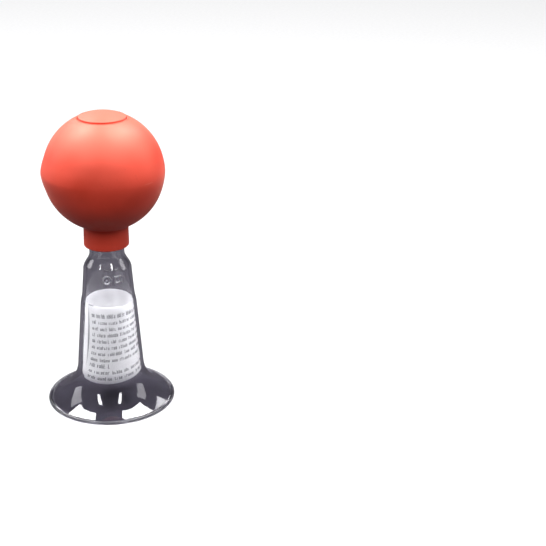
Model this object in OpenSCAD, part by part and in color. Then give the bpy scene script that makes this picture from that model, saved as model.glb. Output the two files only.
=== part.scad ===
// Manual breast pump: a clear bell that stands on its flared mouth, a rubber squeeze bulb pushed onto
// the bell's neck, and a paper leaflet rolled up inside the barrel.
// Millimetres, +Z up. The origin is the centre of the rim, on the surface that the pump stands on.

/* [Bell] */
// Outside diameter of the flared mouth
flange_d = 65; // [62:0.5:70]
// Outside diameter of the barrel where the flare begins
barrel_foot_d = 33.6; // [33.2:0.2:35.2]
// Narrowing of the barrel's radius per millimetre of height
barrel_taper = 0.08; // [0.07:0.005:0.085]
// Step in the barrel's radius at the reservoir's top
barrel_step = 0.55; // [0.3:0.05:0.8]
// Outside diameter of the neck that the bulb is pushed onto
neck_d = 17.4; // [16.6:0.2:18]
// Wall thickness of the bell
bell_wall = 1.3; // [1.2:0.1:1.6]
// Thickness of the rounded rim
rim_t = 2.0; // [1.8:0.1:2.4]
// How far the moulded mark stands out of the barrel
mark_h = 0.35; // [0.2:0.05:0.6]

/* [Bulb] */
// Outside diameter of the rubber ball
ball_d = 58.8; // [56:0.2:64]
// Wall thickness of the rubber ball
ball_wall = 2.6; // [2:0.1:3.2]
// Outside diameter of the collar below the ball
collar_d = 22.2; // [21.6:0.2:24]
// Height of the parting ridge round the ball's equator
ridge_h = 0.7; // [0.2:0.1:0.9]
// Outside diameter of the disc in the ball's crown
crown_d = 23; // [18:0.5:26]

/* [Leaflet] */
// Thickness of the rolled paper
paper_t = 0.3; // [0.25:0.05:0.35]
// Angle over which the roll's two ends overlap
overlap_angle = 76; // [40:2:110]
// Tilt of the roll's lower edge
edge_tilt = 7; // [0:1:9]

/* [Hidden] */
$fn = 120;

// Running fit of the neck in the collar, on the radius
fit_gap = 0.05;
// Clearance round the disc, on the radius
disc_gap = 0.3;
// How far the disc stands out of the ball
disc_rise = 0.3;

// Heights of the bell's features above the table
flare_z = 20;
step_z = 56.5;
shoulder_z = 72.5;
neck_z = 81;
neck_top_z = 97;

flange_r = flange_d / 2;
foot_r = barrel_foot_d / 2;
neck_r = neck_d / 2;
step_half = 3.5;
shoulder_r = foot_r - barrel_taper * (shoulder_z - flare_z) - barrel_step;

// Half-cosine step from 0 to 1
function ease(t) = t <= 0 ? 0 : t >= 1 ? 1 : (1 - cos(180 * t)) / 2;

// Point of a cubic curve through p[0] and p[3]
function cubic(p, t) =
    pow(1 - t, 3) * p[0] + 3 * t * pow(1 - t, 2) * p[1] + 3 * t * t * (1 - t) * p[2] + pow(t, 3) * p[3];

// Barrel's outside radius at height z: a cone with a soft step
function barrel_r(z) =
    foot_r - barrel_taper * (z - flare_z) - barrel_step * ease((z - step_z + step_half) / (2 * step_half));

// Outside of the bell from the rim's top up to the neck's top
rim_r = flange_r - rim_t / 2;
flare_curve = [
    [foot_r, flare_z],
    [foot_r + barrel_taper * 9.5, flare_z - 9.5],
    [flange_r - 8.5, rim_t + 3.5],
    [rim_r, rim_t]
];
flare_steps = 14;
barrel_steps = 12;
shoulder_steps = 10;
outside = concat(
    [for (i = [flare_steps:-1:0]) cubic(flare_curve, i / flare_steps)],
    [for (i = [1:barrel_steps])
        let (z = flare_z + (shoulder_z - flare_z) * i / barrel_steps)
        [barrel_r(z), z]],
    [for (i = [1:shoulder_steps])
        let (t = i / shoulder_steps)
        [shoulder_r + (neck_r - shoulder_r) * ease(t), shoulder_z + (neck_z - shoulder_z) * t]],
    [[neck_r, neck_top_z]]
);
last = len(outside) - 1;

// The same line moved inwards by d, square to itself
function along(i) =
    let (a = outside[max(i - 1, 0)], b = outside[min(i + 1, last)]) (b - a) / norm(b - a);
function inset(i, d) = outside[i] + d * [-along(i)[1], along(i)[0]];

// Round rim from its flat foot to its top
rim_foot = 0.6;
rim_arc = [for (a = [-90:15:75]) [rim_r + rim_t / 2 * cos(a), rim_t / 2 + rim_t / 2 * sin(a)]];

// Ball and collar
ball_r = ball_d / 2;
collar_r = collar_d / 2;
ball_z = 123;
collar_z = 84.9;
collar_flare = 0.1;
lip_round = 0.6;
lip_r = collar_r + collar_flare - lip_round;
fillet_r = 2.6;
fillet_z = ball_z - sqrt(pow(ball_r + fillet_r, 2) - pow(collar_r + fillet_r, 2));
// Angle, from straight down, where the fillet meets the ball
fillet_a = atan((collar_r + fillet_r) / (ball_z - fillet_z));
ridge_half_a = 15;
crown_r = crown_d / 2;
hole_r = crown_r + disc_gap;
bore_r = neck_r + fit_gap;

// Ball's outside radius at angle a above the equator, with the parting ridge
function skin_r(a) = ball_r + ridge_h * max(0, 1 - abs(a) / ridge_half_a);

// Raised mark at the barrel's top, turned from the front towards the right
mark_z = 70.3;
mark_turn = 19;
mark_r = 2.2;
mark_line = 0.7;
mark_offset = 2.8;

// Leaflet
paper_top_z = 55.5;
paper_low_z = 14.6;
paper_gap = 0.3;
layer_gap = 0.2;
paper_top_r = barrel_r(paper_top_z) - bell_wall - paper_gap;
paper_low_r = paper_top_r + barrel_taper * (paper_top_z - paper_low_z);
seam_angle = 231;
step_angle = 3;
// Height of the tilted lower edge on the axis, above the roll's lowest point
edge_rise = 1.9;

module bell_shell() {
    rotate_extrude()
        polygon(concat(
            outside,
            [for (i = [last:-1:0]) inset(i, bell_wall)],
            [[rim_r - rim_foot, 0]],
            rim_arc
        ));
}

// A ring with a dot in it beside a square frame
module mark_shapes() {
    translate([-mark_offset, 0]) {
        difference() {
            circle(mark_r);
            circle(mark_r - mark_line);
        }
        circle(mark_line / 2);
    }
    translate([mark_offset, 0]) difference() {
        square(2 * mark_r - mark_line, center = true);
        square(2 * mark_r - 3 * mark_line, center = true);
    }
}

// The shapes pushed out through the wall, and cut off just outside it
module mark() {
    low_z = mark_z - 1.5 * mark_r;
    high_z = mark_z + 1.5 * mark_r;
    intersection() {
        translate([0, 0, mark_z])
            rotate([90, 0, mark_turn])
            linear_extrude(foot_r)
            mark_shapes();
        rotate_extrude()
            polygon([
                [barrel_r(low_z) - bell_wall / 2, low_z],
                [barrel_r(low_z) + mark_h, low_z],
                [barrel_r(high_z) + mark_h, high_z],
                [barrel_r(high_z) - bell_wall / 2, high_z]
            ]);
    }
}

module clear_bell() {
    color([0.62, 0.62, 0.66, 0.4]) {
        bell_shell();
        mark();
    }
}

module rubber_bulb() {
    inner_r = ball_r - ball_wall;
    crown_a = acos(hole_r / ball_r);
    inner_crown_a = acos(hole_r / inner_r);
    inner_low_a = acos(bore_r / inner_r);
    ball_steps = 60;
    low_a = fillet_a - 90;
    color([0.87, 0.36, 0.25])
        rotate_extrude()
        polygon(concat(
            [for (i = [0:ball_steps])
                let (a = low_a + (crown_a - low_a) * i / ball_steps)
                [skin_r(a) * cos(a), ball_z + skin_r(a) * sin(a)]],
            [for (i = [ball_steps:-1:0])
                let (a = -inner_low_a + (inner_crown_a + inner_low_a) * i / ball_steps)
                [inner_r * cos(a), ball_z + inner_r * sin(a)]],
            [[bore_r, collar_z]],
            [for (a = [-90:30:0])
                [lip_r + lip_round * cos(a), collar_z + lip_round + lip_round * sin(a)]],
            [for (i = [0:5])
                let (a = 180 - (90 - fillet_a) * i / 6)
                [collar_r + fillet_r + fillet_r * cos(a), fillet_z + fillet_r * sin(a)]]
        ));
}

module crown_disc() {
    top_r = ball_r + disc_rise;
    under_r = ball_r - ball_wall;
    dome_steps = 8;
    color([0.9, 0.42, 0.3])
        rotate_extrude()
        polygon(concat(
            [for (i = [0:dome_steps])
                let (r = crown_r * i / dome_steps) [r, ball_z + sqrt(under_r * under_r - r * r)]],
            [for (i = [dome_steps:-1:0])
                let (r = crown_r * i / dome_steps) [r, ball_z + sqrt(top_r * top_r - r * r)]]
        ));
}

// Part of the roll's wall, from start angle over a sweep, moved inwards by inward
module paper_wall(start, sweep, inward, thick) {
    rotate([0, 0, start])
        rotate_extrude(angle = sweep)
        polygon([
            [paper_low_r - inward, paper_low_z],
            [paper_top_r - inward, paper_top_z],
            [paper_top_r - inward - thick, paper_top_z],
            [paper_low_r - inward - thick, paper_low_z]
        ]);
}

module leaflet() {
    fold_t = 2 * paper_t + layer_gap;
    color([0.94, 0.94, 0.93])
        difference() {
            union() {
                paper_wall(seam_angle, 360 - step_angle, 0, paper_t);
                paper_wall(seam_angle, step_angle, 0, fold_t);
                paper_wall(seam_angle + step_angle / 2, overlap_angle, paper_t + layer_gap, paper_t);
            }
            // The lower edge rises towards the right
            translate([0, 0, paper_low_z])
                rotate([0, -edge_tilt, 0])
                translate([-flange_d, -flange_d, -flange_d + edge_rise])
                cube([2 * flange_d, 2 * flange_d, flange_d]);
        }
}

clear_bell();
rubber_bulb();
crown_disc();
leaflet();
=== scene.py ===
"""Manual breast pump on its stage: a clear flared bell, a rubber squeeze bulb and a rolled paper leaflet."""
import math

import bpy
from mathutils import Matrix, Vector


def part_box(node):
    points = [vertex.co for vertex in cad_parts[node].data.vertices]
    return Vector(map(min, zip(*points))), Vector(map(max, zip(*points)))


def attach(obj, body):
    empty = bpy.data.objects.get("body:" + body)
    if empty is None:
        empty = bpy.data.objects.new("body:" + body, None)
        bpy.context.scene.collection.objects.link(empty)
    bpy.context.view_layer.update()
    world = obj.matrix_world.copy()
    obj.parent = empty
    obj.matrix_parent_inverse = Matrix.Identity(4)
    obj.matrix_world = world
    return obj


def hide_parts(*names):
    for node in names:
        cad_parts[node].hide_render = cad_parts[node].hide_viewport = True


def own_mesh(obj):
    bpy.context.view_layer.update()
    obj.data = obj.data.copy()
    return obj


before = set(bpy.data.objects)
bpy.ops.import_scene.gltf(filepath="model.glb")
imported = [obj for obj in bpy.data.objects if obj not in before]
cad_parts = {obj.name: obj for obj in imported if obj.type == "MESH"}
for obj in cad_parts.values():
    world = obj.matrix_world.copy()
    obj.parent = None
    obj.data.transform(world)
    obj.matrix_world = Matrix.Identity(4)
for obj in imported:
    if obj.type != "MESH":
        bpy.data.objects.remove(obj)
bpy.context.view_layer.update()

bl_info = {
    "name": "Bulb Breast Pump",
    "version": (1, 0, 0),
    "blender": (4, 5, 0),
    "location": "3D View > Sidebar > Pump",
    "description": "Builds a clear bell with a rubber squeeze bulb and a rolled leaflet inside it",
    "category": "Object",
}

MM = 0.001
TAU = 2 * math.pi

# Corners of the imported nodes' boxes, in millimetres
BELL_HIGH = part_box("clear_bell")[1] / MM
BULB_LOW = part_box("rubber_bulb")[0] / MM
CROWN_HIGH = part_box("crown_disc")[1] / MM
PAPER_LOW, PAPER_HIGH = (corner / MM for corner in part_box("leaflet"))


# ---------------------------------------------------------------- settings

class BellSettings(bpy.types.PropertyGroup):
    wall: bpy.props.FloatProperty(
        name="Wall", description="Thickness of the clear wall", subtype="DISTANCE",
        default=1.3 * MM, min=1.2 * MM, max=1.6 * MM)
    foot_radius: bpy.props.FloatProperty(
        name="Foot radius", description="Outside radius of the barrel where the flare begins",
        subtype="DISTANCE", default=16.8 * MM)
    neck_radius: bpy.props.FloatProperty(
        name="Neck radius", description="Outside radius of the neck", subtype="DISTANCE",
        default=8.7 * MM)
    mark_height: bpy.props.FloatProperty(
        name="Mark height", description="How far the moulded mark stands out", subtype="DISTANCE",
        default=0.3 * MM)
    # This colour is painted shade, not a tint of the plastic: it darkens the clear wall at the flange and the
    # shoulder
    painted_shade_tint: bpy.props.FloatVectorProperty(
        name="Painted shade", description="Tint of the clear plastic at the flange and the shoulder",
        subtype="COLOR", size=3, min=0, max=1, default=(0.44, 0.43, 0.48))


class BulbSettings(bpy.types.PropertyGroup):
    wall: bpy.props.FloatProperty(
        name="Wall", description="Thickness of the rubber", subtype="DISTANCE",
        default=2.6 * MM, min=2 * MM, max=3.2 * MM)
    ridge: bpy.props.FloatProperty(
        name="Parting ridge", description="Height of the ridge round the equator", subtype="DISTANCE",
        default=0.7 * MM)
    collar_radius: bpy.props.FloatProperty(
        name="Collar radius", description="Outside radius of the collar", subtype="DISTANCE",
        default=11.1 * MM)
    colour: bpy.props.FloatVectorProperty(
        name="Rubber", description="Colour of the rubber", subtype="COLOR", size=3, min=0, max=1,
        default=(0.65, 0.041, 0.017))


class LeafletSettings(bpy.types.PropertyGroup):
    thickness: bpy.props.FloatProperty(
        name="Thickness", description="Thickness of the paper", subtype="DISTANCE",
        default=0.12 * MM)
    overlap: bpy.props.FloatProperty(
        name="Overlap", description="Angle over which the roll lies double", subtype="ANGLE",
        default=math.radians(76))
    row_pitch: bpy.props.FloatProperty(
        name="Row pitch", description="Distance between printed rows", subtype="DISTANCE",
        default=3.35 * MM)
    seed: bpy.props.IntProperty(name="Seed", description="Seed of the printed pattern", default=4)
    paper: bpy.props.FloatVectorProperty(
        name="Paper", description="Colour of the paper", subtype="COLOR", size=3, min=0, max=1,
        default=(0.86, 0.86, 0.87))


class StageSettings(bpy.types.PropertyGroup):
    pitch: bpy.props.FloatProperty(
        name="Pitch", description="How far the camera looks down", subtype="ANGLE",
        default=math.radians(22.75))
    roll: bpy.props.FloatProperty(
        name="Roll", description="Turn of the camera about its view", subtype="ANGLE",
        default=math.radians(1.18))
    lens: bpy.props.FloatProperty(
        name="Lens", description="Focal length", subtype="DISTANCE_CAMERA", default=79.12)
    place: bpy.props.FloatVectorProperty(
        name="Place", description="Where the camera stands", subtype="TRANSLATION", size=3,
        default=(0.08307, -0.55559, 0.30415))


# ---------------------------------------------------------------- mesh helpers

def ease(t):
    """Half-cosine step from 0 to 1."""
    return 0.0 if t <= 0 else 1.0 if t >= 1 else (1 - math.cos(math.pi * t)) / 2


def steps(low, high, count):
    """Evenly spaced values after low, up to high."""
    return [low + (high - low) * i / count for i in range(1, count + 1)]


def arc(centre, radius, start, end, count):
    """Points of a round stretch of outline, angles in degrees."""
    angles = (math.radians(start + (end - start) * i / count) for i in range(count + 1))
    return [(centre[0] + radius * math.cos(a), centre[1] + radius * math.sin(a)) for a in angles]


def inset(line, distance):
    """The outline moved to its left by distance, square to itself."""
    moved = []
    for i, here in enumerate(line):
        before, after = line[max(i - 1, 0)], line[min(i + 1, len(line) - 1)]
        dx, dz = after[0] - before[0], after[1] - before[1]
        length = math.hypot(dx, dz)
        moved.append((here[0] - distance * dz / length, here[1] + distance * dx / length))
    return moved


def even_angles(count):
    return [TAU * i / count for i in range(count)]


def lathe(name, outline, angles, raise_by=None):
    """Turns a closed outline of (radius, height) in millimetres about Z. Ends on the axis become poles.
    raise_by(angle, radius, height, row), where it is given, lifts each point off the outline."""
    verts, rings = [], []
    for row, (radius, height) in enumerate(outline):
        if radius < 1e-6:
            rings.append([len(verts)])
            verts.append((0, 0, height * MM))
            continue
        rings.append(range(len(verts), len(verts) + len(angles)))
        for angle in angles:
            reach = radius + (raise_by(angle, radius, height, row) if raise_by else 0)
            verts.append((reach * math.cos(angle) * MM, reach * math.sin(angle) * MM, height * MM))
    faces, count = [], len(angles)
    on_axis = len(rings[0]) == 1
    pairs = zip(rings, rings[1:]) if on_axis else zip(rings, [*rings[1:], rings[0]])
    for low, high in pairs:
        for i in range(count):
            j = (i + 1) % count
            corners = [low[i % len(low)], low[j % len(low)], high[j % len(high)], high[i % len(high)]]
            faces.append(list(dict.fromkeys(corners)))
    return solid(name, verts, faces)


def solid(name, verts, faces):
    """A smooth-shaded object whose faces point outwards."""
    mesh = bpy.data.meshes.new(name)
    mesh.from_pydata(verts, [], faces)
    mesh.validate()
    if volume(mesh) < 0:
        mesh.flip_normals()
    obj = bpy.data.objects.new(name, mesh)
    bpy.context.scene.collection.objects.link(obj)
    smooth(mesh)
    return obj


def smooth(mesh, sharper_than=40):
    mesh.shade_smooth()
    mesh.set_sharp_from_angle(angle=math.radians(sharper_than))


def volume(mesh):
    """Six times the mesh's volume. It is negative where the faces point inwards."""
    mesh.calc_loop_triangles()
    co = [v.co for v in mesh.vertices]
    return sum(co[a].dot(co[b].cross(co[c])) for a, b, c in (t.vertices for t in mesh.loop_triangles))


def dress(obj, material):
    obj.data.materials.clear()
    obj.data.materials.append(material)


# ---------------------------------------------------------------- node helpers

def node(tree, kind, inputs=None, **values):
    """A new node with its properties set, and with its inputs fed."""
    made = tree.nodes.new(kind)
    for name, value in values.items():
        setattr(made, name, value)
    feed(tree, made, inputs or {})
    return made


def feed(tree, made, inputs):
    """Gives a node's inputs, by name, a value or the socket it comes from."""
    for name, value in inputs.items():
        if isinstance(value, bpy.types.NodeSocket):
            link(tree, value, made.inputs[name])
        else:
            made.inputs[name].default_value = value


def link(tree, source, target):
    tree.links.new(source, target)


def math_node(tree, operation, a, b=None, c=None):
    """A Math node whose inputs are numbers or sockets. Gives its output."""
    made = node(tree, "ShaderNodeMath", operation=operation)
    for socket, value in zip(made.inputs, (a, b, c)):
        if isinstance(value, bpy.types.NodeSocket):
            link(tree, value, socket)
        elif value is not None:
            socket.default_value = value
    return made.outputs[0]


def map_range(tree, value, low, high, to_low, to_high):
    """A smooth step from to_low, at low and below it, to to_high, at high and above it."""
    inputs = {"Value": value, "From Min": low, "From Max": high, "To Min": to_low, "To Max": to_high}
    return node(tree, "ShaderNodeMapRange", inputs, interpolation_type="SMOOTHSTEP").outputs["Result"]


def mix_colour(tree, factor, a, b):
    """A Mix node for colours, whose inputs are values or sockets. Gives its output."""
    made = node(tree, "ShaderNodeMix", data_type="RGBA")
    shown = {s.name: s for s in made.inputs if s.enabled}
    for socket, value in ((shown["Factor"], factor), (shown["A"], a), (shown["B"], b)):
        if isinstance(value, bpy.types.NodeSocket):
            link(tree, value, socket)
        else:
            socket.default_value = value if socket.type == "VALUE" else (*value, 1)[:4]
    return next(s for s in made.outputs if s.enabled)


def noise(tree, vector, scale, detail=3.0, roughness=0.5, distortion=0.0):
    return node(tree, "ShaderNodeTexNoise", {
        "Vector": vector, "Scale": scale, "Detail": detail, "Roughness": roughness,
        "Distortion": distortion}).outputs["Fac"]


def new_material(name, viewport_colour):
    """A material, its tree, its Principled shader and its object coordinates."""
    made = bpy.data.materials.new(name)
    made.use_nodes = True
    made.diffuse_color = (*viewport_colour, 1)
    tree = made.node_tree
    return made, tree, tree.nodes["Principled BSDF"], node(tree, "ShaderNodeTexCoord").outputs["Object"]


def axes_of(tree, vector):
    """The X, Y and Z of a vector, as sockets."""
    made = node(tree, "ShaderNodeSeparateXYZ")
    link(tree, vector, made.inputs[0])
    return made.outputs


def stretched(tree, vector, scale):
    """The vector, scaled along its axes."""
    return node(tree, "ShaderNodeMapping", {"Vector": vector, "Scale": scale}).outputs["Vector"]


def mix_shader(tree, factor, first, second):
    """A Mix Shader node between two shaders' sockets. Gives its output."""
    made = node(tree, "ShaderNodeMixShader", {"Fac": factor})
    link(tree, first, made.inputs[1])
    link(tree, second, made.inputs[2])
    return made.outputs["Shader"]


def group(name, inputs, outputs):
    """An empty shader node group with named float inputs and outputs."""
    tree = bpy.data.node_groups.new(name, "ShaderNodeTree")
    tree.interface.new_socket("Vector", in_out="INPUT", socket_type="NodeSocketVector")
    for label, value in inputs.items():
        socket = tree.interface.new_socket(label, in_out="INPUT", socket_type="NodeSocketFloat")
        socket.default_value = value
    for label in outputs:
        tree.interface.new_socket(label, in_out="OUTPUT", socket_type="NodeSocketFloat")
    return tree, tree.nodes.new("NodeGroupInput").outputs, tree.nodes.new("NodeGroupOutput").inputs


def use_group(tree, wanted, vector, **values):
    """A node that uses a group, with its inputs given by name, _ for a space. Gives its outputs."""
    made = node(tree, "ShaderNodeGroup", node_tree=wanted)
    feed(tree, made, {"Vector": vector, **{label.replace("_", " "): values[label] for label in values}})
    return made.outputs


def grain_group():
    """Fine moulded grain with sparse pits, and a broad cloudy mask, shared by the rubber and the paper."""
    name = "Moulded grain"
    if name in bpy.data.node_groups:
        return bpy.data.node_groups[name]
    tree, given, result = group(
        name, {"Grain scale": 1500.0, "Pit scale": 420.0, "Pit depth": 0.5, "Cloud scale": 40.0},
        ("Height", "Pits", "Clouds"))

    grain = noise(tree, given["Vector"], given["Grain scale"], 2)
    clouds = noise(tree, given["Vector"], given["Cloud scale"], 4)
    pits = node(tree, "ShaderNodeTexVoronoi", {"Vector": given["Vector"], "Scale": given["Pit scale"]})
    spots = map_range(tree, pits.outputs["Distance"], 0.08, 0.24, 1, 0)
    pit_mask = math_node(tree, "MULTIPLY", spots, map_range(tree, clouds, 0.52, 0.66, 0, 1))
    down = math_node(tree, "MULTIPLY", given["Pit depth"], -1)
    link(tree, math_node(tree, "MULTIPLY_ADD", pit_mask, down, grain), result["Height"])
    link(tree, pit_mask, result["Pits"])
    link(tree, clouds, result["Clouds"])
    return tree


def bump(tree, height, shader, strength, distance):
    made = node(tree, "ShaderNodeBump", {"Strength": strength, "Distance": distance, "Height": height})
    link(tree, made.outputs["Normal"], shader.inputs["Normal"])


# ---------------------------------------------------------------- materials

def rubber_material(name, colour, parting_z=None):
    """Matt orange-red rubber with a dry bloom, fine grain, sparse pits and, at parting_z in millimetres, a
    broken parting line whose pale colour is a painted highlight."""
    made, tree, shader, place = new_material(name, colour)
    grain = use_group(
        tree, grain_group(), place, Grain_scale=1900, Pit_scale=330, Pit_depth=0.9, Cloud_scale=55)
    deep, pale = tuple(c * 0.93 for c in colour), tuple(min(1, c * 1.03 + 0.008) for c in colour)
    in_pits = tuple(c * 0.6 for c in colour)
    base = mix_colour(tree, map_range(tree, grain["Clouds"], 0.3, 0.7, 0, 1), deep, pale)
    base = mix_colour(tree, math_node(tree, "MULTIPLY", grain["Pits"], 0.15), base, in_pits)
    height = grain["Height"]
    if parting_z is not None:
        _, y, z = axes_of(tree, place)
        off = math_node(tree, "ABSOLUTE", math_node(tree, "SUBTRACT", z, parting_z * MM))
        line = map_range(tree, off, 0.10 * MM, 0.55 * MM, 1, 0)
        broken = map_range(tree, noise(tree, place, 60), 0.50, 0.66, 0, 1)
        # The painted highlight on the line is trimmed away at the front
        trimmed = map_range(tree, y, -24 * MM, -15 * MM, 0, 1)
        line = math_node(tree, "MULTIPLY", line, math_node(tree, "MULTIPLY", broken, trimmed))
        # The parting line's bump is real; its pale colour is a painted highlight along the ridge
        base = mix_colour(tree, math_node(tree, "MULTIPLY", line, 0.45), base, (0.90, 0.30, 0.20))
        height = math_node(tree, "MULTIPLY_ADD", line, 0.6, height)
    feed(tree, shader, {
        "Base Color": base, "Roughness": map_range(tree, grain["Clouds"], 0.3, 0.7, 0.50, 0.62), "IOR": 1.5,
        "Specular IOR Level": 0.9, "Specular Tint": (1.0, 0.78, 0.62, 1), "Sheen Weight": 0.14,
        "Sheen Roughness": 0.45, "Sheen Tint": (1.0, 0.80, 0.70, 1)})
    bump(tree, height, shader, 0.22, 0.06 * MM)
    return made


def clear_material(painted_shade_tint):
    """Clear plastic, darkened by painted shade at the flange and the shoulder and dark where the wall is seen
    edge-on, with faint flow marks and a finely ground rim. Lamps reach through it."""
    made, tree, shader, place = new_material("Clear plastic", painted_shade_tint)
    z = axes_of(tree, place)["Z"]
    # Painted shade: the flange fully, and the shoulder at about a third, are darkened towards the shade
    # colour
    low = map_range(tree, z, 13 * MM, 22 * MM, 1, 0)
    high = map_range(tree, z, 53 * MM, 64 * MM, 0, 1)
    ends = math_node(tree, "MAXIMUM", low, math_node(tree, "MULTIPLY", high, 0.35))
    flow = noise(tree, stretched(tree, place, (1, 1, 0.16)), 120, 3, 0.55, 0.4)
    tint = mix_colour(tree, map_range(tree, flow, 0.35, 0.7, 0, 1), painted_shade_tint, tuple(c * 0.86 for c in painted_shade_tint))
    base = mix_colour(tree, ends, (0.97, 0.97, 0.98), tint)
    slant = node(tree, "ShaderNodeLayerWeight", {"Blend": 0.5})
    edge_on = map_range(tree, slant.outputs["Facing"], 0.64, 0.86, 0, 0.75)
    smudges = map_range(tree, noise(tree, place, 60, 4, 0.6), 0.45, 0.75, 0.015, 0.05)
    reach = node(tree, "ShaderNodeVectorMath", {"Vector": place}, operation="LENGTH")
    at_rim = map_range(tree, reach.outputs["Value"], 31.5 * MM, 31.9 * MM, 0, 0.3)
    mark = node(tree, "ShaderNodeAttribute", attribute_name="mark")
    rough = math_node(
        tree, "MAXIMUM", math_node(tree, "MULTIPLY", at_rim, low),
        math_node(tree, "MULTIPLY", mark.outputs["Fac"], 0.45))
    feed(tree, shader, {
        "Base Color": mix_colour(tree, edge_on, base, (0.08, 0.08, 0.10)),
        "Roughness": math_node(tree, "ADD", rough, smudges), "IOR": 1.49, "Transmission Weight": 1})
    bump(tree, flow, shader, 0.22, 0.25 * MM)
    open_to_lamps = node(tree, "ShaderNodeBsdfTransparent", {"Color": (0.95, 0.95, 0.96, 1)})
    path = node(tree, "ShaderNodeLightPath").outputs["Is Shadow Ray"]
    mixed = mix_shader(tree, path, shader.outputs["BSDF"], open_to_lamps.outputs["BSDF"])
    link(tree, mixed, tree.nodes["Material Output"].inputs["Surface"])
    return made


def paper_material(paper):
    """Thin uncoated white paper with fibres and a faint cloudy look-through. Some light passes through it."""
    made, tree, shader, place = new_material("Leaflet paper", paper)
    grain = use_group(
        tree, grain_group(), place, Grain_scale=2600, Pit_scale=900, Pit_depth=0.3, Cloud_scale=120)
    fibres = noise(tree, stretched(tree, place, (1, 1, 3.5)), 700, 4, 0.65, 1.2)
    thin, fibre = tuple(c * 0.93 for c in paper), tuple(c * 0.84 for c in paper)
    base = mix_colour(tree, map_range(tree, grain["Clouds"], 0.3, 0.7, 0, 1), thin, paper)
    base = mix_colour(tree, map_range(tree, fibres, 0.55, 0.75, 0, 0.35), base, fibre)
    # Painted shade: a dark band on the layer below, along the free end's edge
    edge = node(tree, "ShaderNodeAttribute", attribute_name="edge_shade")
    base = mix_colour(tree, math_node(tree, "MULTIPLY", edge.outputs["Fac"], 0.8), base, (0.10, 0.10, 0.115))
    feed(tree, shader, {"Base Color": base, "Roughness": map_range(tree, fibres, 0.3, 0.7, 0.72, 0.88)})
    bump(tree, grain["Height"], shader, 0.15, 0.05 * MM)
    through = node(tree, "ShaderNodeBsdfTranslucent", {"Color": base})
    mixed = mix_shader(tree, 0.5, shader.outputs["BSDF"], through.outputs["BSDF"])
    link(tree, mixed, tree.nodes["Material Output"].inputs["Surface"])
    return made


def ink_material():
    """Grey-black print that has sunk a little unevenly into the paper."""
    made, tree, shader, place = new_material("Leaflet print", (0.05, 0.05, 0.06))
    uneven = map_range(tree, noise(tree, place, 900, 2), 0.35, 0.65, 0, 1)
    feed(tree, shader, {
        "Base Color": mix_colour(tree, uneven, (0.035, 0.035, 0.045), (0.12, 0.12, 0.135)),
        "Roughness": map_range(tree, uneven, 0, 1, 0.6, 0.8)})
    return made


# ---------------------------------------------------------------- bell

class BellShape:
    """Outline of the bell, in millimetres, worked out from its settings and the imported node's box."""

    def __init__(self, settings):
        self.wall = settings.wall / MM
        self.foot, self.neck = settings.foot_radius / MM, settings.neck_radius / MM
        self.flange = BELL_HIGH.x
        self.top = BELL_HIGH.z
        self.flare_z, self.shoulder_z, self.neck_z = 20.0, 72.5, 81.0
        self.taper, self.step, self.step_z, self.step_half = 0.08, 0.55, 56.5, 3.5
        self.rim, self.lip, self.inner_lip = 1.05, 0.7, 0.5
        self.shoulder = self.barrel(self.shoulder_z)

    def barrel(self, z):
        """Outside radius of the barrel at height z: a cone with a soft step."""
        drop = self.step * ease((z - self.step_z + self.step_half) / (2 * self.step_half))
        return self.foot - self.taper * (z - self.flare_z) - drop

    def surface(self, z):
        """Outside radius of the barrel or the shoulder at height z."""
        t = (z - self.shoulder_z) / (self.neck_z - self.shoulder_z)
        return self.barrel(min(z, self.shoulder_z)) + (self.neck - self.shoulder) * ease(t)

    def flare(self, t):
        """A point of the flare, from the bead at the rim, t = 0, up to the barrel's foot, t = 1."""
        ends = ((self.flange - 1.75, 1.95), (self.flange - 8.5, 5.5),
                (self.foot + self.taper * 9.5, self.flare_z - 9.5), (self.foot, self.flare_z))
        weights = ((1 - t) ** 3, 3 * t * (1 - t) ** 2, 3 * t * t * (1 - t), t ** 3)
        return tuple(sum(w * p[k] for w, p in zip(weights, ends)) for k in (0, 1))

    def outside(self):
        line = [self.flare(i / 40) for i in range(41)]
        mark_foot = MARK_Z - 4.3
        heights = steps(self.flare_z, mark_foot, 30) + steps(mark_foot, self.shoulder_z, 26)
        line += [(self.surface(z), z) for z in heights + steps(self.shoulder_z, self.neck_z, 34)]
        return line + [(self.neck, z) for z in steps(self.neck_z, self.top - self.lip, 6)]

    def outline(self):
        line = self.outside()
        inside = inset(line, self.wall)
        bead = (self.flange - self.rim, self.rim)
        rim = arc(bead, self.rim, -90, 112, 22)
        lip_out = arc((self.neck - self.lip, self.top - self.lip), self.lip, 15, 90, 5)
        lip_in = arc(
            (self.neck - self.wall + self.inner_lip, self.top - self.inner_lip), self.inner_lip, 90, 165, 4)
        return rim + line + lip_out + lip_in + inside[::-2] + [(self.flange - 1.6, 0)]


# Middle of the moulded mark: its direction from the axis, and its height in millimetres
MARK_TURN = math.radians(-90 + 19)
MARK_Z = 70.3


def mark_amount(angle, radius, height):
    """How much a point is on the moulded mark, from 0 to 1. The mark is a ring with a dot, a square frame
    and two dashes."""
    turn = (angle - MARK_TURN + math.pi) % TAU - math.pi
    x, z = turn * radius, height - MARK_Z
    if abs(x) > 6 or abs(z) > 7:
        return 0.0
    ring_x, line = x + 2.8, 0.36
    ring = abs(math.hypot(ring_x, z) - 1.85) - line
    dot = math.hypot(ring_x, z) - line
    frame_side = abs(max(abs(x - 2.8), abs(z)) - 1.5) - line
    dash_z = abs(z - 5.1) - 0.25
    dashes = min(max(abs(x + 2.4) - 0.8, dash_z), max(abs(x - 2.2) - 0.8, dash_z))
    return ease(0.5 - min(ring, dot, frame_side, dashes) / 0.3)


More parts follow.
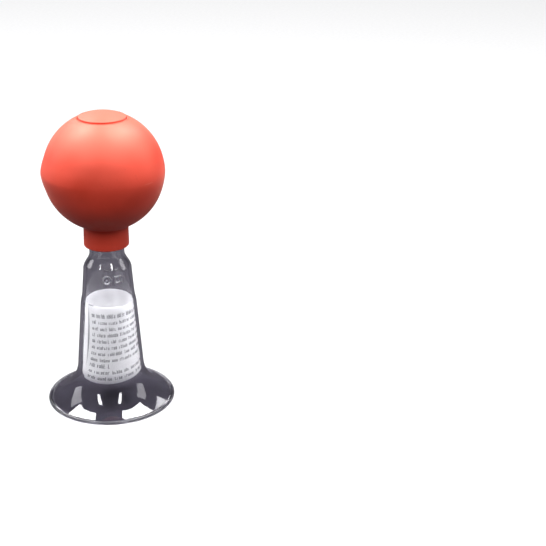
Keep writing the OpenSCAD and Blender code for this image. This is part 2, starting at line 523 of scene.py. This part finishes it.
class PUMP_OT_bell(bpy.types.Operator):
    """Build the clear bell with its rim, flare, barrel, shoulder, neck and moulded mark"""
    bl_idname = "pump.bell"
    bl_label = "Clear bell"

    def execute(self, context):
        settings = context.scene.pump_bell
        shape = BellShape(settings)
        outline = shape.outline()
        # The mesh is finer near the mark
        near, fine, coarse = math.radians(24), 72, 216
        angles = [MARK_TURN - near + 2 * near * i / fine for i in range(fine)]
        angles += [MARK_TURN + near + (TAU - 2 * near) * i / coarse for i in range(coarse)]
        top_row = max(range(len(outline)), key=lambda i: outline[i][1])
        mark_height = settings.mark_height / MM

        def raised(angle, radius, height, row):
            return mark_height * mark_amount(angle, radius, height) if row < top_row else 0

        bell = lathe("bell_shell", outline, angles, raised)
        values = []
        for vertex in bell.data.vertices:
            x, y, z = vertex.co / MM
            radius = math.hypot(x, y)
            outer = radius > shape.surface(z) - shape.wall / 2
            values.append(mark_amount(math.atan2(y, x), radius, z) if outer else 0.0)
        bell.data.attributes.new("mark", "FLOAT", "POINT").data.foreach_set("value", values)
        dress(bell, clear_material(tuple(settings.painted_shade_tint)))
        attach(bell, "bell")
        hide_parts("clear_bell")
        return {"FINISHED"}


# ---------------------------------------------------------------- bulb

class BulbShape:
    """Sizes of the ball and the collar, in millimetres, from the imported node's box."""

    def __init__(self, settings):
        self.wall, self.ridge = settings.wall / MM, settings.ridge / MM
        self.collar = settings.collar_radius / MM
        self.low = BULB_LOW.z
        self.radius, self.z = 29.4, 123.0
        self.bore, self.hole = 8.75, CROWN_HIGH.x + 0.3
        self.fillet = 2.6
        reach = self.radius + self.fillet
        self.fillet_z = self.z - math.sqrt(reach ** 2 - (self.collar + self.fillet) ** 2)
        self.fillet_angle = math.degrees(math.atan2(self.collar + self.fillet, self.z - self.fillet_z))

    def ridge_share(self, height):
        """How much of the parting ridge there is at a height on the ball, from 0 to 1, with a soft foot."""
        crest, reach, foot = 2.0, 15, 0.15
        degrees = math.degrees(math.asin(max(-1, min(1, (height - self.z) / self.radius))))
        share = 1 - math.hypot(degrees, crest) / reach
        return (share + math.hypot(share, foot)) / 2

    def ball(self):
        """Outline of the ball: the fillet above the collar, the skin, the hole's edge and the inside."""
        line = arc((self.collar + self.fillet, self.fillet_z), self.fillet, 180, 90 + self.fillet_angle, 10)
        high = math.degrees(math.acos((self.hole + 0.55) / self.radius))
        line += [polar(self.radius, a, self.z) for a in steps(self.fillet_angle - 90, high, 150)]
        edge_z = line[-1][1]
        line += arc((self.hole + 0.5, edge_z - 0.42), 0.5, 55, 180, 6)
        inner = self.radius - self.wall
        inner_high = math.degrees(math.acos((self.hole + 0.2) / inner))
        inner_low = -math.degrees(math.acos(self.bore / inner))
        line += [polar(inner, a, self.z) for a in (inner_high, *steps(inner_high, inner_low, 70))]
        return line + [(self.bore, self.fillet_z)]

    def collar_outline(self):
        """Outline of the collar, which is slightly wider at its lower lip."""
        top, low, wider = self.fillet_z, self.low, 0.1
        line = [(self.bore, top), (self.collar, top)]
        for z in steps(top, low + 0.8, 14):
            line.append((self.collar + wider * ease((top - z) / (top - low - 1)), z))
        line += arc((self.collar - 0.6, low + 0.7), 0.7, -5, -90, 6)
        return line + arc((self.bore + 0.45, low + 0.45), 0.45, -90, -175, 5)


def polar(radius, degrees, z):
    """The point at an angle, in degrees, on a circle whose middle is on the axis at height z."""
    a = math.radians(degrees)
    return radius * math.cos(a), z + radius * math.sin(a)


class PUMP_OT_bulb(bpy.types.Operator):
    """Build the hollow rubber ball with its parting ridge, and the collar that grips the neck"""
    bl_idname = "pump.bulb"
    bl_label = "Rubber bulb"

    def execute(self, context):
        settings = context.scene.pump_bulb
        shape = BulbShape(settings)
        rubber = rubber_material("Bulb rubber", tuple(settings.colour), shape.z)

        def out_of_round(angle, radius, height, row):
            """The moulding's slow unevenness, and the ridge where its halves meet, proudest at the left."""
            swell = 0.05 * math.sin(2 * angle + 0.6) + 0.03 * math.sin(5 * angle + height / 7)
            if row > skin_rows:
                return 0.2 * swell
            proud = 0.45 + 1.1 * max(0, -math.cos(angle)) ** 1.5
            return swell + shape.ridge_share(height) * shape.ridge * proud

        outline = shape.ball()
        skin_rows = max(range(len(outline)), key=lambda i: outline[i][1])
        ball = lathe("bulb_ball", outline, even_angles(224), out_of_round)
        collar = lathe("bulb_collar", shape.collar_outline(), even_angles(144))
        for piece in (ball, collar):
            dress(piece, rubber)
            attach(piece, "bulb")
            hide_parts("rubber_bulb")
        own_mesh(ball)
        return {"FINISHED"}


class PUMP_OT_crown(bpy.types.Operator):
    """Build the domed disc inside the ring on the bulb's crown"""
    bl_idname = "pump.crown"
    bl_label = "Crown disc"

    def execute(self, context):
        shape = BulbShape(context.scene.pump_bulb)
        radius, proud = CROWN_HIGH.x, CROWN_HIGH.z - shape.z
        bevel = 0.45
        under = shape.radius - shape.wall
        top = [(r, shape.z + math.sqrt(proud ** 2 - r * r)) for r in steps(0, radius - bevel, 26)]
        edge_z = top[-1][1]
        edge = arc((radius - bevel, edge_z - bevel), bevel, 70, 0, 5)
        low = [(r, shape.z + math.sqrt(under ** 2 - r * r)) for r in steps(0, radius - 0.05, 20)]
        outline = [(0, shape.z + under), *low, *edge[::-1], *top[::-1], (0, shape.z + proud)]
        disc = lathe("crown_dome", outline, even_angles(144))
        colour = tuple(min(1, c * 1.06 + 0.01) for c in context.scene.pump_bulb.colour)
        dress(disc, rubber_material("Disc rubber", colour))
        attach(disc, "crown")
        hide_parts("crown_disc")
        return {"FINISHED"}


# ---------------------------------------------------------------- leaflet

def geometry_group(name, inputs):
    """An empty geometry node tree with named inputs, each a type and a default."""
    tree = bpy.data.node_groups.new(name, "GeometryNodeTree")
    for label, (kind, value) in inputs.items():
        socket = tree.interface.new_socket(label, in_out="INPUT", socket_type=kind)
        if value is not None:
            socket.default_value = value
    return tree


def roll_up_group():
    """Maps a flat sheet, on X and Y with its printed side up, onto the conical roll inside the barrel."""
    name = "Roll up"
    if name in bpy.data.node_groups:
        return bpy.data.node_groups[name]
    number = "NodeSocketFloat"
    tree = geometry_group(name, {
        "Flat": ("NodeSocketVector", None), "Turn per length": (number, 1.0), "Sheet height": (number, 1.0),
        "Start angle": (number, 0.0), "Top radius": (number, 1.0), "Taper": (number, 0.0),
        "Top Z": (number, 1.0), "Low Z": (number, 0.0), "Low tilt": (number, 0.0), "Inset": (number, 0.0)})
    tree.interface.new_socket("Rolled", in_out="OUTPUT", socket_type="NodeSocketVector")
    tree.interface.new_socket("Painted edge shade", in_out="OUTPUT", socket_type="NodeSocketFloat")
    given = tree.nodes.new("NodeGroupInput").outputs
    result = tree.nodes.new("NodeGroupOutput").inputs

    def m(operation, a, b=None, c=None):
        return math_node(tree, operation, a, b, c)

    along, up, proud = axes_of(tree, given["Flat"])
    share = m("DIVIDE", up, given["Sheet height"])
    turned = m("MULTIPLY", along, given["Turn per length"])
    # The end's edge bows: it lies furthest round a little above the middle of the sheet
    bow = m("POWER", m("SUBTRACT", share, 0.62), 2.0)
    near_end = map_range(tree, turned, 0, math.radians(60), 1, 0)
    pulled = m("MULTIPLY", bow, -0.62)
    angle = m("ADD", m("ADD", given["Start angle"], turned), m("MULTIPLY", pulled, near_end))
    # A painted shade darkens the layer below along the end's edge, where the layers part
    beside = m("SUBTRACT", pulled, m("SUBTRACT", turned, TAU))
    painted_shade_crescent = m("MULTIPLY_ADD", bow, 0.45, beside)
    shade = map_range(tree, painted_shade_crescent, math.radians(8), math.radians(12.5), 1, 0)
    link(tree, m("MULTIPLY", shade, m("GREATER_THAN", beside, math.radians(-12))), result["Painted edge shade"])
    # The lower edge is lowest at the front left and rises towards the back
    facing = m("COSINE", m("SUBTRACT", angle, math.radians(262)))
    low = m("MULTIPLY_ADD", facing, m("MULTIPLY", given["Low tilt"], -1),
            m("ADD", given["Low Z"], given["Low tilt"]))
    height = m("MULTIPLY_ADD", share, m("SUBTRACT", given["Top Z"], low), low)
    cone = m("MULTIPLY_ADD", m("SUBTRACT", given["Top Z"], height), given["Taper"], given["Top radius"])
    # The first turn's end eases inwards, out of the way of the layer that goes over it
    far_end = map_range(tree, turned, math.radians(225), math.radians(350), 0, 1)
    inward = m("MULTIPLY", far_end, given["Inset"])
    radius = m("ADD", m("SUBTRACT", m("ADD", cone, springy_waves(tree, turned, share)), inward), proud)
    joined = node(tree, "ShaderNodeCombineXYZ", {
        "X": m("MULTIPLY", radius, m("COSINE", angle)), "Y": m("MULTIPLY", radius, m("SINE", angle)),
        "Z": height})
    link(tree, joined.outputs["Vector"], result["Rolled"])
    return tree


def springy_waves(tree, turned, share):
    """Slow waves of the springy paper, in metres, always inwards from the barrel's wall."""
    at = node(tree, "ShaderNodeCombineXYZ", {"X": turned, "Y": share})
    made = noise(tree, at.outputs["Vector"], 1.3, 1.0, 0.4)
    return math_node(tree, "MULTIPLY_ADD", made, -0.45 * MM, 0.05 * MM)


# Inputs that a leaflet's tree hands on to the roll
ROLL = (
    "Turn per length", "Sheet height", "Start angle", "Top radius", "Taper", "Top Z", "Low Z", "Low tilt",
    "Inset")


def leaflet_tree(name, build):
    """A geometry node tree that makes flat geometry with build(tree, given), rolls it up and paints it."""
    number = "NodeSocketFloat"
    inputs = {label: (number, 0.0) for label in ("Sheet length", "Thickness", "Row pitch", *ROLL)}
    inputs["Seed"] = ("NodeSocketInt", 0)
    inputs["Material"] = ("NodeSocketMaterial", None)
    tree = geometry_group(name, inputs)
    tree.interface.new_socket("Geometry", in_out="OUTPUT", socket_type="NodeSocketGeometry")
    given = tree.nodes.new("NodeGroupInput").outputs
    flat = build(tree, given)
    roll = node(tree, "GeometryNodeGroup", node_tree=roll_up_group())
    feed(tree, roll, {label: given[label] for label in ROLL})
    feed(tree, roll, {"Flat": node(tree, "GeometryNodeInputPosition").outputs[0]})
    # The painted shade's mask is kept on the sheet's points
    shade = node(
        tree, "GeometryNodeStoreNamedAttribute",
        {"Geometry": flat, "Name": "edge_shade", "Value": roll.outputs["Painted edge shade"]},
        data_type="FLOAT", domain="POINT")
    place = node(tree, "GeometryNodeSetPosition", {
        "Geometry": shade.outputs["Geometry"], "Position": roll.outputs["Rolled"]})
    paint = node(tree, "GeometryNodeSetMaterial", {
        "Geometry": place.outputs["Geometry"], "Material": given["Material"]})
    node(tree, "NodeGroupOutput", {"Geometry": paint.outputs["Geometry"]})
    return tree


def flat_sheet(tree, given):
    """The leaflet before it is rolled: a thin slab from the origin along X and Y."""
    size = node(tree, "ShaderNodeCombineXYZ", {
        "X": given["Sheet length"], "Y": given["Sheet height"], "Z": given["Thickness"]})
    slab = node(tree, "GeometryNodeMeshCube", {
        "Size": size.outputs["Vector"], "Vertices X": 300, "Vertices Y": 56, "Vertices Z": 2})
    store = node(
        tree, "GeometryNodeStoreNamedAttribute",
        {"Geometry": slab.outputs["Mesh"], "Name": "UVMap", "Value": slab.outputs["UV Map"]},
        data_type="FLOAT2", domain="CORNER")
    # The slab is made about the origin. Half its size moves its corner there, and its top face to Z = 0
    half = node(tree, "ShaderNodeVectorMath", {"Vector": size.outputs["Vector"]}, operation="MULTIPLY")
    half.inputs[1].default_value = (0.5, 0.5, -0.5)
    move = node(tree, "GeometryNodeTransform", {
        "Geometry": store.outputs["Geometry"], "Translation": half.outputs["Vector"]})
    return move.outputs["Geometry"]


LETTER_PITCH = 0.92 * MM
ROWS, LETTERS, WORD_LETTERS = 11, 72, 6
HEADING_ROW, SHORT_ROW, SHORT_LETTERS = 10, 2, 9
# The second panel begins after a gap, whose middle is at this letter
PANEL_GAP = 51

# Strokes of a made-up letter: the shift sideways in millimetres, the share of the letters that have it, and
# the height it lies at in millimetres, or None for an upright
STROKES = ((-0.26, 1.0, None), (0.18, 0.62, None), (0.0, 0.55, 1.15), (0.0, 0.5, 0.12))
UPRIGHT_WIDTH, LEVEL_LENGTH, LEVEL_WIDTH, INK_DEPTH = 0.23 * MM, 0.60 * MM, 0.19 * MM, 0.03 * MM


def printed_rows(tree, given):
    """Rows of small upright and level strokes, grouped like words, that say nothing."""
    def m(operation, a, b=None, c=None):
        return math_node(tree, operation, a, b, c)

    grid = node(tree, "GeometryNodeMeshGrid", {
        "Vertices X": LETTERS, "Vertices Y": ROWS, "Size X": LETTER_PITCH * (LETTERS - 1),
        "Size Y": m("MULTIPLY", given["Row pitch"], ROWS - 1)})
    x, y, _ = axes_of(tree, node(tree, "GeometryNodeInputPosition").outputs[0])
    column = m("ROUND", m("ADD", m("DIVIDE", x, LETTER_PITCH), (LETTERS - 1) / 2))
    row = m("ROUND", m("ADD", m("DIVIDE", y, given["Row pitch"]), (ROWS - 1) / 2))
    place_number = m("MULTIPLY_ADD", row, LETTERS, column)

    def chance(offset, low=0.0, high=1.0, number=None):
        """A repeatable random number for each letter's place, or for each number given."""
        made = node(tree, "FunctionNodeRandomValue", data_type="FLOAT")
        for label, value in (("Min", low), ("Max", high)):
            next(s for s in made.inputs if s.name == label and s.enabled).default_value = value
        link(tree, m("ADD", given["Seed"], offset), made.inputs["Seed"])
        link(tree, number or place_number, made.inputs["ID"])
        return next(s for s in made.outputs if s.enabled)

    word = m("FLOOR", m("DIVIDE", column, WORD_LETTERS))
    gap = m("FLOOR", chance(1, 2, WORD_LETTERS, m("MULTIPLY_ADD", row, LETTERS, word)))
    letter = m("SUBTRACT", column, m("MULTIPLY", word, WORD_LETTERS))
    in_word = m("GREATER_THAN", m("ABSOLUTE", m("SUBTRACT", letter, gap)), 0.5)
    on_panel = m("GREATER_THAN", m("ABSOLUTE", m("SUBTRACT", column, PANEL_GAP)), 3)
    short = m("COMPARE", row, SHORT_ROW, 0.5)
    beyond = m("GREATER_THAN", m("MODULO", column, PANEL_GAP + 1), SHORT_LETTERS)
    keep = m("MULTIPLY", m("MULTIPLY", in_word, on_panel), m("SUBTRACT", 1, m("MULTIPLY", short, beyond)))
    capitals = m("MAXIMUM", short, m("COMPARE", row, HEADING_ROW, 0.5))
    tall = m("MULTIPLY_ADD", m("GREATER_THAN", chance(2), 0.72), 0.55, m("MULTIPLY", capitals, 0.45))
    bar = node(tree, "GeometryNodeMeshCube", {"Size": (1, 1, 1)})
    letters = node(tree, "GeometryNodeJoinGeometry")
    for i, (shift, share, level) in enumerate(STROKES):
        if level is None:
            width = UPRIGHT_WIDTH
            length = m("MULTIPLY", m("ADD", tall if i == 0 else m("MULTIPLY", capitals, 0.45), 1.3), MM)
            middle = m("MULTIPLY", length, 0.5)
        else:
            width, length = LEVEL_LENGTH, LEVEL_WIDTH
            middle = m("MULTIPLY", chance(20 + i, level, level + 0.25), MM)
        size = node(tree, "ShaderNodeCombineXYZ", {"X": width, "Y": length, "Z": INK_DEPTH})
        offset = node(tree, "ShaderNodeCombineXYZ", {"X": shift * MM, "Y": middle, "Z": INK_DEPTH})
        spread = node(tree, "GeometryNodeInstanceOnPoints", {
            "Points": grid.outputs["Mesh"], "Instance": bar.outputs["Mesh"], "Scale": size.outputs["Vector"],
            "Selection": m("MULTIPLY", keep, m("LESS_THAN", chance(10 + i), share))})
        shifted = node(tree, "GeometryNodeTranslateInstances", {
            "Instances": spread.outputs["Instances"], "Translation": offset.outputs["Vector"],
            "Local Space": False})
        link(tree, shifted.outputs["Instances"], letters.inputs["Geometry"])
    real = node(tree, "GeometryNodeRealizeInstances", {"Geometry": letters.outputs["Geometry"]})
    side_margin, foot_margin = 2.4 * MM, 1.9 * MM
    corner = node(tree, "ShaderNodeCombineXYZ", {
        "X": (LETTERS - 1) * LETTER_PITCH / 2 + side_margin,
        "Y": m("MULTIPLY_ADD", given["Row pitch"], (ROWS - 1) / 2, foot_margin)})
    move = node(tree, "GeometryNodeTransform", {
        "Geometry": real.outputs["Geometry"], "Translation": corner.outputs["Vector"]})
    return move.outputs["Geometry"]


def made_by_nodes(name, tree, values):
    """Runs a geometry node tree on an empty mesh and gives the result as a plain mesh object."""
    obj = bpy.data.objects.new(name, bpy.data.meshes.new(name))
    bpy.context.scene.collection.objects.link(obj)
    modifier = obj.modifiers.new(name, "NODES")
    modifier.node_group = tree
    for item in tree.interface.items_tree:
        if item.in_out == "INPUT" and item.name in values:
            modifier[item.identifier] = values[item.name]
    obj.update_tag()
    evaluated = obj.evaluated_get(bpy.context.evaluated_depsgraph_get())
    mesh = bpy.data.meshes.new_from_object(evaluated)
    obj.modifiers.clear()
    obj.data = mesh
    mesh.name = name
    if volume(mesh) < 0:
        mesh.flip_normals()
    return obj


class PUMP_OT_leaflet(bpy.types.Operator):
    """Roll up the paper leaflet inside the barrel, with its rows of print"""
    bl_idname = "pump.leaflet"
    bl_label = "Leaflet"

    def execute(self, context):
        settings = context.scene.pump_leaflet
        bell = BellShape(context.scene.pump_bell)
        top_z, low_z, play = PAPER_HIGH.z, PAPER_LOW.z, 0.12
        top_radius = bell.barrel(top_z) - bell.wall - play
        mean_radius = top_radius + bell.taper * (top_z - low_z) / 2
        turn = TAU + settings.overlap
        length, height = mean_radius * turn, top_z - low_z
        values = {
            "Sheet length": length * MM, "Sheet height": height * MM, "Thickness": settings.thickness,
            "Row pitch": settings.row_pitch, "Turn per length": 1 / (mean_radius * MM),
            "Start angle": math.radians(231.5), "Top radius": top_radius * MM, "Taper": bell.taper,
            "Top Z": top_z * MM, "Low Z": low_z * MM, "Low tilt": 2.4 * MM, "Inset": 0.85 * MM,
            "Seed": settings.seed}
        sheet = made_by_nodes(
            "leaflet_sheet", leaflet_tree("Rolled sheet", flat_sheet),
            {**values, "Material": paper_material(tuple(settings.paper))})
        ink = made_by_nodes(
            "leaflet_print", leaflet_tree("Printed rows", printed_rows),
            {**values, "Material": ink_material()})
        smooth(sheet.data, 60)
        for piece in (sheet, ink):
            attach(piece, "leaflet")
        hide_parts("leaflet")
        return {"FINISHED"}


# ---------------------------------------------------------------- stage

def softbox(name, place, target, width, height, radiance):
    """A rectangular lamp of the given radiance that faces the target, all in metres."""
    lamp = bpy.data.lights.new(name, "AREA")
    lamp.shape, lamp.size, lamp.size_y = "RECTANGLE", width, height
    lamp.energy = radiance * math.pi * width * height
    obj = bpy.data.objects.new(name, lamp)
    away = Vector(place) - Vector(target)
    obj.matrix_world = Matrix.Translation(place) @ away.to_track_quat("Z", "Y").to_matrix().to_4x4()
    obj.visible_camera = False
    bpy.context.scene.collection.objects.link(obj)


def floor_material():
    """Pale matt floor that looks evenly lit. It gives little light back to the object, as a small sheet in a
    dark room does."""
    made, tree, shader, place = new_material("Pale floor", (0.9, 0.9, 0.9))
    speck = map_range(tree, noise(tree, place, 240, 3), 0.3, 0.7, 0, 1)
    pale = mix_colour(tree, speck, (0.90, 0.90, 0.905), (0.93, 0.93, 0.935))
    feed(tree, shader, {"Base Color": pale, "Roughness": 0.9, "Specular IOR Level": 0.1})
    glow = node(tree, "ShaderNodeEmission", {"Color": pale})
    evenly = mix_shader(tree, 0.86, shader.outputs["BSDF"], glow.outputs["Emission"])
    path = node(tree, "ShaderNodeLightPath").outputs
    bounce = mix_colour(tree, path["Is Diffuse Ray"], (0.050, 0.047, 0.056), (0.035, 0.010, 0.006))
    dim = node(tree, "ShaderNodeBsdfDiffuse", {"Color": bounce})
    mixed = mix_shader(tree, path["Is Camera Ray"], dim.outputs["BSDF"], evenly)
    link(tree, mixed, tree.nodes["Material Output"].inputs["Surface"])
    return made


class PUMP_OT_stage(bpy.types.Operator):
    """Set up the pale floor, the softboxes, the dim room and the camera"""
    bl_idname = "pump.stage"
    bl_label = "Stage"

    def execute(self, context):
        scene = context.scene
        settings = scene.pump_stage
        half = 6.0
        corners = [(-half, -half, 0), (half, -half, 0), (half, half, 0), (-half, half, 0)]
        floor = solid("floor", corners, [range(4)])
        dress(floor, floor_material())
        middle = (0, 0, 0.09)
        for side in (-1, 1):
            softbox(f"Overhead softbox {side}", (side * 0.42 - 0.07, 0.18, 0.98), middle, 0.42, 0.52, 25)
            softbox(f"Side softbox {side}", (side * 0.90, 0.15, 0.50), middle, 0.36, 0.62, 3.6)
            softbox(f"Front strip {side}", (side * 0.42, -0.62, 0.86), middle, 0.11, 0.55, 26)
            softbox(f"Rear softbox {side}", (side * 0.50, 0.70, 0.75), middle, 0.30, 0.36, 8)

        world = bpy.data.worlds.new("Studio")
        scene.world = world
        world.use_nodes = True
        tree = world.node_tree
        room = tree.nodes["Background"]
        feed(tree, room, {"Color": (0.62, 0.60, 0.68, 1), "Strength": 0.16})
        backdrop = node(tree, "ShaderNodeBackground", {"Color": (0.95, 0.95, 0.95, 1)})
        path = node(tree, "ShaderNodeLightPath").outputs["Is Camera Ray"]
        mixed = mix_shader(tree, path, room.outputs["Background"], backdrop.outputs["Background"])
        link(tree, mixed, tree.nodes["World Output"].inputs["Surface"])

        lens = bpy.data.cameras.new("Camera")
        lens.lens, lens.sensor_width = settings.lens, 36
        camera = bpy.data.objects.new("Camera", lens)
        turn = Matrix.Rotation(math.pi / 2 - settings.pitch, 4, "X") @ Matrix.Rotation(settings.roll, 4, "Z")
        camera.matrix_world = Matrix.Translation(settings.place) @ turn
        scene.collection.objects.link(camera)
        scene.camera = camera
        scene.view_settings.view_transform = "Standard"
        scene.cycles.max_bounces = 16
        scene.cycles.transmission_bounces = 14
        scene.cycles.transparent_max_bounces = 16
        scene.cycles.use_denoising = True
        return {"FINISHED"}


# ---------------------------------------------------------------- add-on

OPERATORS = (PUMP_OT_bell, PUMP_OT_bulb, PUMP_OT_crown, PUMP_OT_leaflet, PUMP_OT_stage)
SETTINGS = {
    "pump_bell": BellSettings, "pump_bulb": BulbSettings, "pump_leaflet": LeafletSettings,
    "pump_stage": StageSettings}


class PUMP_PT_panel(bpy.types.Panel):
    """Lists the pump's settings and the operators that build it"""
    bl_idname = "PUMP_PT_panel"
    bl_label = "Bulb breast pump"
    bl_space_type = "VIEW_3D"
    bl_region_type = "UI"
    bl_category = "Pump"

    def draw(self, context):
        for operator in OPERATORS:
            self.layout.operator(operator.bl_idname)
        for name, kind in SETTINGS.items():
            box = self.layout.box()
            for prop in kind.bl_rna.properties.keys()[1:]:
                if prop != "name":
                    box.prop(getattr(context.scene, name), prop)


def register():
    for cls in (*SETTINGS.values(), *OPERATORS, PUMP_PT_panel):
        bpy.utils.register_class(cls)
    for name, kind in SETTINGS.items():
        setattr(bpy.types.Scene, name, bpy.props.PointerProperty(type=kind))


def unregister():
    for name in SETTINGS:
        delattr(bpy.types.Scene, name)
    for cls in (PUMP_PT_panel, *reversed(OPERATORS), *reversed(SETTINGS.values())):
        bpy.utils.unregister_class(cls)


def main():
    register()
    bpy.ops.pump.bell()
    bpy.ops.pump.bulb()
    bpy.ops.pump.crown()
    bpy.ops.pump.leaflet()
    bpy.ops.pump.stage()


if __name__ == "__main__":
    main()
